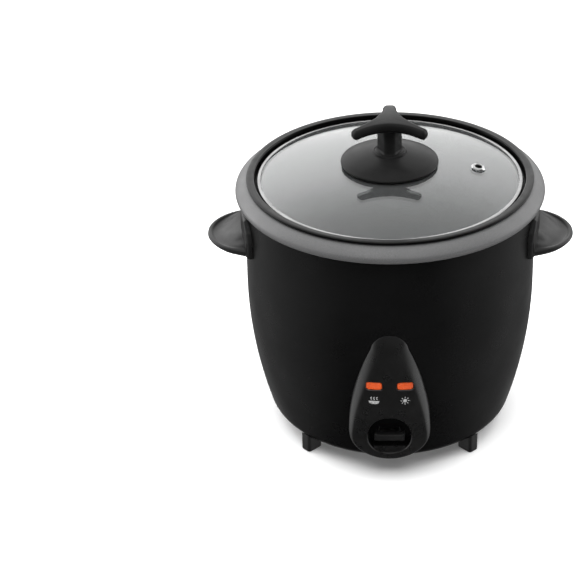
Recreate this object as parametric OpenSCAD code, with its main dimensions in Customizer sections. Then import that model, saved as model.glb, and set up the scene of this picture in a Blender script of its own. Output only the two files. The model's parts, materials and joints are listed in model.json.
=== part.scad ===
// Small one-switch rice cooker with a lift-out pot and a glass lid.
// Origin: on the vertical axis, at the level the feet stand on. +Z is up and -Y is the control panel.

/* [Body] */
// Outer radius of the metal trim ring
ring_r = 100; // [96:1:103]
// Height of the widest line of the trim ring above the floor
ring_z = 170; // [169:0.5:171]
// Largest radius of the barrel-shaped casing
bulge_r = 94.4; // [93.5:0.1:95]
// Height of that largest radius
bulge_z = 105; // [100:1:110]
// Radius of the rounded edge at the foot of the casing
corner_r = 12; // [11:0.5:13]
// Thickness of the casing sheet
sheet_t = 1; // [0.8:0.1:1.2]

/* [Handles] */
// Distance from the axis to each handle's tip
handle_tip = 119.5; // [116:0.5:122]
// Height of the raised edge of the handles
handle_top = 137.5; // [136:0.5:140]
// Radius of the round end of a handle
handle_r = 30; // [28:0.5:31]

/* [Control panel] */
// Half of the panel's greatest width, also the radius of its round foot
panel_r = 26; // [25:0.5:27]
// Height of the centre of the round foot
panel_foot_z = 41; // [40:0.5:42]
// Radius of the round top of the panel
panel_tip_r = 12; // [11:0.5:13]
// Height of the top of the panel
panel_top_z = 114; // [113:0.5:116]
// Distance of each lamp lens from the panel's centre line
lens_x = 9.8; // [9:0.1:10.5]
// Height of the lamp lenses
lens_z = 79; // [77:0.5:81]

/* [Switch] */
// Height of the lever and its pivot
lever_z = 37.2; // [37:0.1:37.4]
// Distance of the pivot in front of the axis
pivot_y = 46; // [45:0.5:47]
// Width of the finger tab
tab_w = 20; // [18:0.5:21]
// Radius of the pivot pin
pin_r = 1.5; // [1.4:0.1:1.6]

/* [Pot and lid] */
// Outer radius of the pot's wall
pot_r = 82.5; // [82:0.5:83]
// Height at which the pot stands on the heating plate
pot_z = 65; // [65:0.1:65.3]
// Outer radius of the pot's lip
lip_r = 92.7; // [92:0.1:93.5]
// Height of the top of the pot's lip
lip_z = 178.8; // [178.6:0.1:179.2]
// Outer radius of the lid's steel rim
lid_r = 85.6; // [85:0.1:85.8]
// Height of the top of the glass at its centre
glass_top = 187.5; // [186:0.5:189]
// Radius of the disc under the knob
disc_r = 31.5; // [30:0.5:33]
// Reach of the three lobes of the knob
lobe_reach = 27; // [25:0.5:28]
// Distance of the steam vent from the axis
vent_x = 57; // [54:0.5:60]

/* [Hidden] */

// Curves of true circles
fine = 96;
// Small overlap that joins two shapes of one solid
eps = 0.01;
// Radius of the curve of the casing below and above its largest radius
lower_curve = 294;
upper_curve = 1600;
// Height where the casing meets the ring
shell_top = 168;
// Height where the side of the casing turns into its rounded foot
corner_top = 18;
// The lower floor of the cooker
base_z = 10.5;
// Height of the liner's floor, and of the underside of the heating plate
pan_z = 47;
plate_z = 53;
// Radius of the opening in the liner's floor
pan_hole_r = 55;
// Radius of the heating plate and of its centre hole
plate_r = 75;
plate_hole_r = 19.5;
// Wall radius of the liner
liner_r = 87.5;
// Directions of the three fixings of liner and plate, measured from +X
fixing_angles = [30, 150, 270];
fixing_r = 62;
// Brackets between liner and base: directions and distances of their two screws
bracket_angles = [0, 120, 240];
bracket_low_r = 56;
bracket_high_r = 76;
// Screw bosses of the control panel
boss_x = 9;
boss_z = 98;
// Feet: direction, distance from the axis, length outwards and width
foot_angles = [45, 135, 225, 315];
foot_r = 73.5;
foot_len = 12;
foot_w = 8;
foot_screw_r = 60;
// Face of the control panel: how far its middle stands in front of the axis
face_y = 98.4;
// Oval finger recess of the panel
recess_r = 13.75;
recess_low = 36.75;
recess_high = 40.25;
recess_floor = 28;
// Handle height of the shelf
shelf_t = 3;
shelf_z = handle_top - 6;
// Inlet height
inlet_z = 35;
inlet_screw_x = 17.5;
// Seat of the lid on the pot
seat_z = 172.6;
// Glass: edge radius, thickness, and fall of its top face for each mm of radius squared
glass_r = 84.7;
glass_t = 2.7;
glass_fall = (glass_top - 175.8) / pow(glass_r, 2);
// Underside of the knob's base at the glass, and the level where the grip stands on the base
boss_low_z = glass_top + 0.8;
grip_z = glass_top + 8.1;

// Radius of the outside of the casing at height z
function shell_radius(z) =
    bulge_r - pow(z - bulge_z, 2) / (2 * (z < bulge_z ? lower_curve : upper_curve));

// Points of an arc of radius r about [x, y], from angle a to angle b
function arc(x, y, r, a, b, steps = 12) =
    [for (i = [0:steps]) let (t = a + (b - a) * i / steps) [x + r * cos(t), y + r * sin(t)]];

// Outline of the casing moved out by d, from its foot up to its top
corner_tilt = 16.5;
corner_x = shell_radius(corner_top) - corner_r * cos(corner_tilt);
corner_z = corner_top + corner_r * sin(corner_tilt);
function shell_line(d) = concat(
    arc(corner_x, corner_z, corner_r + d, -78, -corner_tilt, 8),
    [for (z = [24:8:160]) [shell_radius(z) + d, z]],
    [[shell_radius(shell_top) + d, shell_top]]);

function flip(points) = [for (i = [len(points) - 1:-1:0]) points[i]];

// Everything inside the casing's outline moved out by d
module shell_solid(d) {
    line = shell_line(d);
    rotate_extrude($fn = fine)
        polygon(concat([[0, line[0][1]]], line, [[0, shell_top]]));
}

// Round bar along Y between two values of y
module y_bar(r, y1, y2, x = 0, z = 0) {
    translate([x, y2, z]) rotate([90, 0, 0]) cylinder(h = y2 - y1, r = r, $fn = 32);
}

// Flat ring from radius r1 to r2, from height z1 to z2
module ring_plate(r1, r2, z1, z2) {
    rotate_extrude($fn = fine)
        polygon([[r1, z1], [r2, z1], [r2, z2], [r1, z2]]);
}

// Pan-head screw, head at the origin, shank towards +Z
module screw(head_r, head_h, shank_r, shank_l) {
    difference() {
        union() {
            cylinder(h = head_h, r = head_r, $fn = 32);
            cylinder(h = head_h + shank_l, r = shank_r, $fn = 24);
        }
        for (a = [0, 90])
            rotate(a) translate([-head_r * 0.6, -0.4, -eps]) cube([head_r * 1.2, 0.8, head_h * 0.5]);
    }
}

// Helical spring about +Z from z1 to z2, wire radius w, coil radius r
function coil_ring(r, w, turns, z1, z2, i, steps, sides) =
    let (t = 360 * turns * i / steps, z = z1 + w + (z2 - z1 - 2 * w) * i / steps)
    [for (k = [0:sides - 1]) let (b = 360 * k / sides)
        [(r + w * cos(b)) * cos(t), (r + w * cos(b)) * sin(t), z + w * sin(b)]];
module coil(r, w, turns, z1, z2, sides = 6, per_turn = 14) {
    steps = turns * per_turn;
    points = [for (i = [0:steps]) each coil_ring(r, w, turns, z1, z2, i, steps, sides)];
    walls = [for (i = [0:steps - 1], k = [0:sides - 1])
        let (n = (k + 1) % sides) each
        [[i * sides + k, (i + 1) * sides + k, (i + 1) * sides + n],
         [i * sides + k, (i + 1) * sides + n, i * sides + n]]];
    foot_cap = [for (k = [1:sides - 2]) [0, k, k + 1]];
    head_cap = [for (k = [1:sides - 2]) [steps * sides, steps * sides + k + 1, steps * sides + k]];
    polyhedron(points, concat(walls, foot_cap, head_cap));
}

// ---- Casing ----

// Outline of the control panel, seen from the front, grown by d
module teardrop(d) {
    side_r = 146;
    side_x = side_r - panel_r;
    tip_z = panel_top_z - panel_tip_r;
    translate([0, panel_foot_z]) circle(r = panel_r + d, $fn = fine);
    translate([0, tip_z]) circle(r = panel_tip_r + d, $fn = fine);
    intersection() {
        for (s = [-1, 1])
            intersection_for (k = [0, 1])
                translate([(2 * k - 1) * side_x, panel_foot_z]) circle(r = side_r + d, $fn = 192);
        translate([-panel_r - d, panel_foot_z]) square([2 * (panel_r + d), tip_z - panel_foot_z + 4]);
    }
}

// A flat outline pushed along -Y from y = -near to y = -far
module pushed(near, far) {
    translate([0, -near, 0]) rotate([90, 0, 0]) linear_extrude(far - near) children();
}

// Oval of the finger recess, grown by d
module recess_oval(d) {
    for (z = [recess_low, recess_high]) translate([0, z]) circle(r = recess_r + d, $fn = fine);
    translate([-recess_r - d, recess_low]) square([2 * (recess_r + d), recess_high - recess_low]);
}

module shell_cutouts() {
    translate([-7, -110, 29]) cube([14, 50, 12]);
    pushed(60, 110) lens_windows(0.6);
    translate([-14.2, 60, inlet_z - 10.7]) cube([28.4, 50, 21.4]);
    for (s = [-1, 1]) y_bar(1.6, 70, 100, x = s * inlet_screw_x, z = inlet_z);
    for (s = [-1, 1], y = [-18, 18])
        translate([s * 70, y, shelf_z + 13]) rotate([0, s * 90, 0]) cylinder(h = 40, r = 1.7, $fn = 24);
    for (s = [-1, 1]) pushed(60, 110) translate([s * boss_x, boss_z]) circle(r = 1.5, $fn = 24);
}

module outer_shell() {
    line = shell_line(0);
    inner = shell_line(-sheet_t);
    color("#1a1a1c") difference() {
        rotate_extrude($fn = fine) union() {
            polygon(concat(line, flip(inner)));
            translate([line[0][0] - 0.4, line[0][1] + 0.2]) circle(r = 0.8, $fn = 24);
        }
        shell_cutouts();
    }
}

module top_ring() {
    color("#8a8c8e") rotate_extrude($fn = fine)
        polygon(concat(
            [[93.6, 168.2], [95, 167]],
            arc(ring_r - 3, ring_z, 3, -75, 35, 8),
            [[97, 174.1], [94, 176], [91.6, 176.9], [89.8, 176.9], [89.8, 175.6], [91.3, 175.6],
             [93.5, 174.7], [96.2, 172.9], [98, 170.9], [98, 169.3], [95.6, 168.6], [95, 169.4],
             [89.5, 170.6], [89.5, 169.6], [93.6, 169.2]]));
}

module inner_liner() {
    t = 0.8;
    color("#b9bcbe") difference() {
        rotate_extrude($fn = fine)
            polygon([[pan_hole_r, pan_z - t], [liner_r - 3, pan_z - t], [liner_r, pan_z + 3],
                [liner_r, 169 - t], [93, 169 - t], [93, 169 - eps], [liner_r - t, 169 - eps],
                [liner_r - t, pan_z + 3.4], [liner_r - 3.4, pan_z], [pan_hole_r, pan_z]]);
        for (a = fixing_angles)
            rotate(a) translate([fixing_r, 0, pan_z - 2]) cylinder(h = 4, r = 2.2, $fn = 32);
        for (a = bracket_angles)
            rotate(a) translate([bracket_high_r, 0, pan_z - 2]) cylinder(h = 4, r = 1.8, $fn = 32);
    }
}

module base_plate() {
    color("#85888a") difference() {
        rotate_extrude($fn = fine)
            polygon([[12, base_z], [66, base_z], [67, base_z + 0.4], [67, base_z + 4],
                [66.2, base_z + 4], [66.2, base_z + 1.2], [65.4, base_z + 0.8], [12, base_z + 0.8]]);
        for (a = foot_angles)
            rotate(a) translate([foot_screw_r, 0, base_z - 1]) cylinder(h = 3, r = 1.8, $fn = 32);
        for (a = bracket_angles)
            rotate(a) translate([bracket_low_r, 0, base_z - 1]) cylinder(h = 3, r = 1.8, $fn = 32);
        for (r = [24, 34, 44], a = [0:30:330])
            rotate(a + r) translate([r, 0, base_z - 1]) cylinder(h = 3, r = 2, $fn = 24);
    }
}

// One foot pointing along +X, with a lug that is screwed to the base plate
module foot() {
    difference() {
        union() {
            for (y = [-1, 1])
                translate([foot_r - foot_len / 2 + 2, y * (foot_w / 2 - 2), 0]) cylinder(h = 18, r = 2, $fn = 32);
            for (y = [-1, 1])
                translate([foot_r + foot_len / 2 - 2, y * (foot_w / 2 - 2), 0]) cylinder(h = 18, r = 2, $fn = 32);
            translate([foot_r - foot_len / 2, 2 - foot_w / 2, 0]) cube([foot_len, foot_w - 4, 18]);
            translate([foot_r - foot_len / 2 + 2, -foot_w / 2, 0]) cube([foot_len - 4, foot_w, 18]);
        }
        shell_solid(0.7);
    }
    difference() {
        translate([54, -5, 7.5]) cube([13.6, 10, base_z - 7.5]);
        translate([foot_screw_r, 0, 7]) cylinder(h = 5, r = 1.9, $fn = 32);
        rotate_extrude($fn = fine) polygon([[66.6, 8.9], [75, 8.9], [75, 12], [66.6, 12]]);
    }
}

module feet() {
    color("#151515") for (a = foot_angles) rotate(a) foot();
}

// Stepped sheet strip from the liner's floor down to the base plate
module base_brackets() {
    floor_z = base_z + 0.8;
    top_z = pan_z - 0.8;
    color("#9a9da0") for (a = bracket_angles) rotate(a) difference() {
        union() {
            translate([50, -7, floor_z]) cube([14.5, 14, 1]);
            translate([63.5, -7, floor_z]) cube([1, 14, top_z - floor_z]);
            translate([63.5, -7, top_z - 1]) cube([17.5, 14, 1]);
        }
        translate([bracket_low_r, 0, floor_z - 1]) cylinder(h = 3, r = 1.75, $fn = 32);
        translate([bracket_high_r, 0, top_z - 2]) cylinder(h = 3, r = 1.75, $fn = 32);
    }
}

module base_screws() {
    color("#c8cacc") {
        for (a = foot_angles) rotate(a) translate([foot_screw_r, 0, 5.9]) screw(3.2, 1.6, 1.7, 5.5);
        for (a = bracket_angles) {
            rotate(a) translate([bracket_low_r, 0, base_z - 1.6]) screw(3.2, 1.6, 1.7, 4);
            rotate(a) translate([bracket_high_r, 0, pan_z - 3.4]) screw(3.2, 1.6, 1.7, 4);
        }
    }
}

// ---- Handles ----

// Outline of a handle on the +X side, pulled in by d
module handle_outline(d) {
    tip_x = handle_tip - handle_r;
    translate([tip_x, 0]) circle(r = handle_r - d, $fn = fine);
    polygon([[80, d - 36], [tip_x + 13, d - 27.4], [tip_x + 13, 27.4 - d], [80, 36 - d]]);
}

module handle() {
    color("#1b1b1d") difference() {
        union() {
            difference() {
                translate([0, 0, shelf_z]) linear_extrude(handle_top - shelf_z) handle_outline(0);
                translate([0, 0, shelf_z + shelf_t]) linear_extrude(10) handle_outline(3);
            }
            intersection() {
                shell_solid(4);
                translate([60, 0, 0]) rotate([90, 0, 90]) linear_extrude(50)
                    polygon([[-36, shelf_z], [36, shelf_z], [36, shelf_z + 15], [27, shelf_z + 26],
                        [-27, shelf_z + 26], [-36, shelf_z + 15]]);
            }
        }
        shell_solid(0.2);
        for (y = [-18, 18])
            translate([85, y, shelf_z + 13]) rotate([0, 90, 0]) cylinder(h = 10.5, r = 1.6, $fn = 24);
    }
}

module handle_right() { handle(); }
module handle_left() { mirror([1, 0, 0]) handle(); }

module handle_screws() {
    color("#c8cacc") for (s = [0, 180], y = [-18, 18])
        rotate(s) translate([88.8, y, shelf_z + 13]) rotate([0, 90, 0]) screw(3.2, 1.6, 1.5, 4.6);
}

// ---- Control panel ----

// Solid of revolution whose skin is the panel's front face, grown by d
module face_solid(d) {
    rotate_extrude($fn = fine)
        polygon([[0, 10], [85.5 + d, 10], [88.4 + d, 17], [92.6 + d, 26], [96 + d, 37],
            [98 + d, 52], [face_y + d, 68], [98 + d, 88], [96.8 + d, 102], [94.9 + d, 114.5], [0, 114.5]]);
}

module lens_windows(d) {
    for (s = [-1, 1]) translate([s * lens_x, lens_z]) {
        square([10 + 2 * d - 3, 5.4 + 2 * d], center = true);
        square([10 + 2 * d, 5.4 + 2 * d - 3], center = true);
        for (x = [-1, 1], z = [-1, 1])
            translate([x * (3.5 + d), z * (1.2 + d)]) circle(r = 1.5, $fn = 24);
    }
}

module front_panel() {
    color("#1d1d1f") difference() {
        union() {
            difference() {
                intersection() {
                    face_solid(0);
                    pushed(60, 105) teardrop(0);
                }
                intersection() {
                    face_solid(-2.5);
                    pushed(50, 110) teardrop(-2.5);
                }
            }
            intersection() {
                face_solid(0);
                pushed(70, 105) recess_oval(1.8);
            }
            intersection() {
                face_solid(-1);
                for (s = [-1, 1]) pushed(70, 105) translate([s * boss_x, boss_z]) circle(r = 3.2, $fn = 32);
            }
        }
        difference() {
            pushed(89.4, 110) recess_oval(0);
            translate([-20, 0, 0]) rotate([90, 0, 90]) linear_extrude(40)
                polygon([[-88, recess_floor], [-90, recess_floor], [-99, 22.5], [-88, 20]]);
        }
        translate([-7.5, -100, recess_floor]) cube([15, 20, 13]);
        pushed(80, 110) lens_windows(0.1);
        for (s = [-1, 1]) pushed(80, 95.6) translate([s * boss_x, boss_z]) circle(r = 1.4, $fn = 24);
        shell_solid(0.2);
    }
}

module panel_screws() {
    color("#c8cacc") for (s = [-1, 1])
        translate([s * boss_x, -88.2, boss_z]) rotate([90, 0, 0]) screw(2.6, 1.4, 1.3, 5.4);
}

// Clear amber lens at x = s times lens_x, with a flange behind the panel
module lens(s) {
    color("#d9551c") intersection() {
        union() {
            pushed(94.2, 98) lens_windows(0);
            pushed(93.6, 94.3) lens_windows(1);
        }
        translate([s * lens_x - 9, -100, lens_z - 8]) cube([18, 20, 16]);
    }
}

module lens_cook() { lens(-1); }
module lens_warm() { lens(1); }

// Steaming bowl under the left lamp, sun with eight rays under the right one
module panel_marks() {
    color("white") difference() {
        intersection() {
            face_solid(0.2);
            pushed(80, 105) translate([0, lens_z - 10.6]) {
                translate([-lens_x, 0]) {
                    polygon([[-3.4, -0.2], [3.4, -0.2], [2.3, -2.6], [-2.3, -2.6]]);
                    for (x = [-1.8, 0, 1.8]) translate([x - 0.3, 0.6]) square([0.6, 2]);
                }
                translate([lens_x, 0]) {
                    circle(r = 1.2, $fn = 32);
                    for (a = [0:45:315]) rotate(a) translate([1.8, -0.3]) square([1.2, 0.6]);
                }
            }
        }
        face_solid(0);
    }
}

module lamp_carrier() {
    color("#e8e6df") difference() {
        union() {
            translate([-14.3, -90.7, 76]) cube([28.6, 1.1, 26]);
            for (s = [-1, 1], e = [-1, 1])
                translate([s * lens_x + e * 4 - 0.4, -92.4, lens_z - 1.6]) cube([0.8, 2, 3.2]);
        }
        for (s = [-1, 1]) pushed(85, 95) translate([s * boss_x, boss_z]) circle(r = 1.5, $fn = 24);
    }
}

module indicator_lamps() {
    color("#f0c8a8") for (s = [-1, 1]) translate([s * lens_x, -92, lens_z]) rotate([0, 90, 0]) {
        cylinder(h = 4.6, r = 1.25, center = true, $fn = 32);
        for (e = [-1, 1]) translate([0, 0, e * 2.3]) sphere(r = 1.25, $fn = 32);
    }
}

// ---- Switch under the heating plate ----

module lever_bracket() {
    color("#a9acae") difference() {
        union() {
            translate([-9.1, -57, plate_z - 1.2]) cube([18.2, 29.5, 1.2]);
            for (x = [-9.1, 7.9]) translate([x, -52, lever_z - 4]) cube([1.2, 28, plate_z - lever_z + 3.9]);
        }
        translate([-12, -pivot_y, lever_z]) rotate([0, 90, 0]) cylinder(h = 24, r = pin_r, $fn = 48);
        for (y = [-32, -42]) translate([4.5, y, plate_z - 2]) cylinder(h = 3, r = 1.6, $fn = 32);
    }
}

module bracket_screws() {
    color("#c8cacc") for (y = [-32, -42]) translate([4.5, y, plate_z - 2.6]) screw(2.3, 1.4, 1.5, 5);
}

module lever_pin() {
    color("#d0d2d4") translate([-9.2, -pivot_y, lever_z]) rotate([0, 90, 0]) {
        cylinder(h = 19.4, r = pin_r, $fn = 48);
        translate([0, 0, -1]) cylinder(h = 1, r = 2.4, $fn = 48);
        translate([0, 0, 18.4]) cylinder(h = 1, r = 2.2, $fn = 48);
    }
}

// Sheet arm with folded ears on the pivot pin and a fork round the magnet's rod
module switch_lever() {
    color("#b4b7ba") difference() {
        union() {
            translate([-6, -93.4, lever_z - 0.6]) cube([12, 98.4, 1.2]);
            for (x = [-7.2, 5.9]) translate([x, -pivot_y - 4, lever_z - 2.8]) cube([1.3, 8, 5.4]);
        }
        translate([-5, -pivot_y - 2.4, lever_z - 1]) cube([10, 4.8, 2]);
        translate([-10, -pivot_y, lever_z]) rotate([0, 90, 0]) cylinder(h = 20, r = pin_r + 0.05, $fn = 48);
        translate([0, 0, lever_z - 1]) cylinder(h = 2, r = 2.3, $fn = 48);
        translate([-2.3, 0, lever_z - 1]) cube([4.6, 10, 2]);
    }
}

module lever_tab() {
    low = lever_z - 2.7;
    color("#161616") difference() {
        translate([0, -90.8, 0]) rotate([90, 0, 0]) linear_extrude(5)
            polygon([[-tab_w / 2, low + 0.8], [0.8 - tab_w / 2, low], [tab_w / 2 - 0.8, low],
                [tab_w / 2, low + 0.8], [tab_w / 2, low + 7], [tab_w / 2 - 1, low + 7],
                [tab_w / 2 - 3, low + 5.8], [tab_w / 2 - 5, low + 5.4], [5 - tab_w / 2, low + 5.4],
                [3 - tab_w / 2, low + 5.8], [1 - tab_w / 2, low + 7], [-tab_w / 2, low + 7]]);
        translate([-6, -93.4, lever_z - 0.6]) cube([12, 10, 1.2]);
    }
}

module microswitch() {
    color("#2b2b2d") difference() {
        translate([-7.9, -44, 40.6]) cube([6.4, 20, 10.2]);
        translate([-4.7, -34, 40]) cylinder(h = 3.6, r = 1.1, $fn = 32);
    }
    color("#c9a24a") for (z = [42.5, 47]) translate([-6.2, -24, z]) cube([3, 5.5, 0.8]);
}

module microswitch_button() {
    color("#b3271e") translate([-4.7, -34, 38.1]) cylinder(h = 3.6, r = 1, $fn = 32);
}

// ---- Heating plate and thermostat ----

module heating_plate() {
    color("#b6b8ba") difference() {
        rotate_extrude($fn = fine)
            polygon([[plate_hole_r, plate_z], [66, plate_z], [plate_r, 58], [plate_r, 63.4],
                [plate_r - 1.6, pot_z], [plate_hole_r, pot_z]]);
        rotate_extrude($fn = fine) {
            translate([52, 57]) circle(r = 3.35, $fn = 48);
            translate([48.65, plate_z - 1]) square([6.7, 5]);
        }
        for (a = fixing_angles)
            rotate(a) translate([fixing_r, 0, plate_z - 1]) cylinder(h = 7, r = 1.8, $fn = 32);
        for (s = [-1, 1]) translate([22.3 * s, 0, plate_z - 1]) cylinder(h = 6, r = 1.5, $fn = 32);
        for (y = [-32, -42]) translate([4.5, y, plate_z - 1]) cylinder(h = 6, r = 1.5, $fn = 32);
    }
}

// Sheathed heater cast into the plate, with two cold ends that drop below it
module heating_element() {
    color("#7d7f81") {
        rotate([0, 0, 105]) rotate_extrude(angle = 330, $fn = fine) translate([52, 57]) circle(r = 3.3, $fn = 48);
        for (a = [75, 105]) rotate(a) translate([52, 0, 41]) {
            cylinder(h = 16, r = 3.3, $fn = 48);
            translate([0, 0, 16]) sphere(r = 3.3, $fn = 48);
            translate([0, 0, -6]) cylinder(h = 7, r = 1.3, $fn = 32);
        }
    }
}

module plate_supports() {
    color("#a5a8aa") for (a = fixing_angles) rotate(a) translate([fixing_r, 0, 0]) difference() {
        translate([0, 0, pan_z]) cylinder(h = plate_z - pan_z, r = 5, $fn = 48);
        translate([0, 0, pan_z - 1]) cylinder(h = plate_z - pan_z + 2, r = 2.2, $fn = 32);
    }
}

module plate_screws() {
    color("#c8cacc") for (a = fixing_angles)
        rotate(a) translate([fixing_r, 0, pan_z - 2.8]) screw(3.6, 2, 1.75, 12);
}

module thermostat_housing() {
    color("#9fa2a4") difference() {
        rotate_extrude($fn = fine)
            polygon([[3.4, 44.2], [13.2, 44.2], [13.2, plate_z - 1.2], [26, plate_z - 1.2], [26, plate_z],
                [13.2, plate_z], [13.2, 57], [12.2, 57], [12.2, 45], [3.4, 45]]);
        for (s = [-1, 1]) translate([22.3 * s, 0, plate_z - 2]) cylinder(h = 3, r = 1.6, $fn = 32);
    }
}

module thermostat_screws() {
    color("#c8cacc") for (s = [-1, 1]) translate([22.3 * s, 0, plate_z - 2.6]) screw(2.8, 1.4, 1.5, 5);
}

module thermostat_cap() {
    color("#c4c6c8") rotate_extrude($fn = fine)
        polygon([[0, pot_z - 1.1], [17, pot_z - 1.1], [17, 55.2], [18, 55.2], [18, pot_z - 0.6],
            [17.5, pot_z - 0.1], [0, pot_z - 0.1]]);
}

module thermostat_ferrite() {
    color("#3a3a3c") translate([0, 0, 57.9]) cylinder(h = pot_z - 1.1 - 57.9, r = 11.5, $fn = fine);
}

module thermostat_magnet() {
    color("#4a4a4e") translate([0, 0, 45.3]) cylinder(h = 5, r = 11, $fn = fine);
}

module magnet_rod() {
    color("#c9ccce") {
        translate([0, 0, lever_z + 1.2]) cylinder(h = 44.1 - lever_z, r = 3, $fn = 48);
        translate([0, 0, lever_z - 1.3]) cylinder(h = 3, r = 1.5, $fn = 48);
        translate([0, 0, lever_z - 2.4]) cylinder(h = 1.2, r = 3, $fn = 48);
    }
}

module cap_spring() {
    color("#c4c6c8") coil(15.1, 0.7, 4, plate_z + 0.05, pot_z - 1.15);
}

module release_spring() {
    color("#c4c6c8") coil(7, 0.5, 4, 50.35, 57.85);
}

module keep_warm_heater() {
    color("#cfc7b4") ring_plate(liner_r + 0.1, liner_r + 1.5, 106, 128);
}

module thermal_fuse() {
    color("#d8d4c6") y_bar(2.3, 9, 31, x = -30, z = 49.4);
    color("#c8cacc") y_bar(0.6, 4, 36, x = -30, z = 49.4);
}

module fuse_clip() {
    color("#a9acae") difference() {
        union() {
            y_bar(3.3, 15, 23, x = -30, z = 49.4);
            translate([-33.3, 15, 51]) cube([6.6, 8, plate_z - 51]);
        }
        y_bar(2.4, 10, 30, x = -30, z = 49.4);
    }
}

module terminal_block() {
    color("#dedad0") difference() {
        translate([-58, -12, base_z + 0.8]) cube([24, 24, 12]);
        for (y = [-7, 0, 7]) {
            translate([-46, y, base_z + 6]) cylinder(h = 8, r = 2.2, $fn = 32);
            translate([-60, y, base_z + 5]) rotate([0, 90, 0]) cylinder(h = 30, r = 1.4, $fn = 24);
        }
    }
}

// ---- Mains inlet at the back ----

module inlet_blades(d) {
    for (x = [-7, 0, 7])
        translate([x - 1 - d, 60, (x == 0 ? inlet_z : inlet_z - 4) - d]) cube([2 + 2 * d, 27, 4 + 2 * d]);
}

module inlet_socket() {
    color("#18181a") difference() {
        union() {
            translate([-14, 66, inlet_z - 10.5]) cube([28, 26, 21]);
            difference() {
                translate([-22, 78, inlet_z - 12.5]) cube([44, 14, 25]);
                shell_solid(0.2);
            }
        }
        translate([-12, 70, inlet_z - 7.5]) cube([24, 30, 15]);
        inlet_blades(0.05);
        for (s = [-1, 1]) y_bar(1.7, 70, 100, x = s * inlet_screw_x, z = inlet_z);
    }
}

module inlet_pins() {
    color("#cfd1d3") inlet_blades(0);
}

module inlet_screws() {
    color("#c8cacc") for (s = [-1, 1])
        translate([s * inlet_screw_x, 93.6, inlet_z]) rotate([90, 0, 0]) screw(3, 1.6, 1.5, 12);
}

// ---- Pot ----

module inner_pot() {
    foot_c = pot_r - 14;
    color("#c3c5c7") rotate_extrude($fn = fine)
        polygon(concat([[0, pot_z]],
            arc(foot_c, pot_z + 14, 14, -90, 0, 8),
            [[pot_r, 168], [pot_r + 0.9, 170.6], [pot_r + 2.4, 171.1], [88.2, 171.1], [88.8, 171.7],
             [88.9, lip_z - 1.5], [lip_r, lip_z - 1.5], [lip_r, lip_z - 0.5], [lip_r - 0.5, lip_z],
             [88.4, lip_z], [87.5, lip_z - 0.7], [87.3, seat_z], [82.6, seat_z], [81.4, 171.4],
             [pot_r - 1.5, 168.6]],
            flip(arc(foot_c, pot_z + 14, 12.5, -90, 0, 8)),
            [[0, pot_z + 1.5]]));
}

// ---- Lid ----

function glass_z(r) = glass_top - glass_fall * r * r;

module lid_glass() {
    radii = [for (i = [0:12]) 4.2 + (glass_r - 4.2) * i / 12];
    color("#cfd8da", 0.4) difference() {
        rotate_extrude($fn = fine)
            polygon(concat([for (r = radii) [r, glass_z(r) - glass_t]], flip([for (r = radii) [r, glass_z(r)]])));
        translate([vent_x, 0, 170]) cylinder(h = 20, r = 3.8, $fn = 48);
    }
}

module lid_rim() {
    color("#e2e4e6") rotate_extrude($fn = fine)
        polygon([[82.4, seat_z], [lid_r - 0.4, seat_z], [lid_r, seat_z + 0.4], [lid_r, 176.2],
            [lid_r - 0.4, 176.6], [83.4, 176.6], [83.4, 176.2], [glass_r + 0.2, 175.85],
            [glass_r + 0.2, seat_z + 0.4], [82.4, seat_z + 0.4]]);
}

module steam_vent() {
    color("#d5d7d9") translate([vent_x, 0, glass_z(vent_x)])
        rotate([0, atan(2 * glass_fall * vent_x), 0]) rotate_extrude($fn = 48)
            polygon([[1.9, -3.8], [4.6, -3.8], [4.6, -3], [3.2, -2.8], [3.2, 0.1], [4.85, 0.1],
                [4.85, 0.8], [4.1, 1.6], [2.9, 1.6], [1.9, 0.8]]);
}

module knob_gasket() {
    color("#38383a") ring_plate(4.4, 9, glass_top, boss_low_z);
}

module knob_screw() {
    low = glass_top - glass_t;
    color("#d5d7d9") rotate_extrude($fn = 64)
        polygon([[0, low - 3], [3, low - 2.8], [5, low - 1.6], [9, low - 1], [9, low - 0.2], [2, low - 0.2],
            [2, grip_z + 9], [0, grip_z + 10]]);
}

module knob_base() {
    edge_z = glass_top + 0.5;
    color("#1a1a1c") rotate_extrude($fn = fine)
        polygon([[2.2, boss_low_z], [9, boss_low_z], [9, boss_low_z + 2.4], [12, boss_low_z + 2.6],
            [22, boss_low_z + 1.2], [disc_r - 2, edge_z - 0.3], [disc_r - 1.3, edge_z - 1.1],
            [disc_r - 0.4, edge_z - 1.1], [disc_r, edge_z - 0.5], [disc_r, edge_z + 0.4],
            [disc_r - 0.5, edge_z + 1.1], [26, edge_z + 3.2], [20, edge_z + 4.9], [14, edge_z + 6.1],
            [10.3, edge_z + 6.6], [9.3, grip_z - 0.6], [8.8, grip_z], [2.2, grip_z]]);
}

// Lobed outline whose sides curve in between three rounded tips
module lobes() {
    tip_r = 3.6;
    tip = lobe_reach - tip_r;
    root_w = 7.3;
    waist_x = 4.75;
    function half_width(x) = tip_r + root_w * pow(1 - x / tip, 2);
    flank = [for (i = [0:7]) let (x = waist_x + (tip - waist_x) * i / 8) [x, half_width(x)]];
    lobe = concat([for (i = [1:7]) [flank[i][0], -flank[i][1]]], arc(tip, 0, tip_r, -90, 90, 12), flip(flank));
    polygon([for (a = [90, 210, 330], p = lobe)
        [p[0] * cos(a) - p[1] * sin(a), p[0] * sin(a) + p[1] * cos(a)]]);
}

// Three-sided stem with rounded edges
module stem_outline() {
    edge_r = 3;
    reach = 6;
    polygon([for (a = [30, 150, 270], p = arc(0, 0, edge_r, a - 60, a + 60, 12))
        [reach * cos(a) + p[0], reach * sin(a) + p[1]]]);
}

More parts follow.
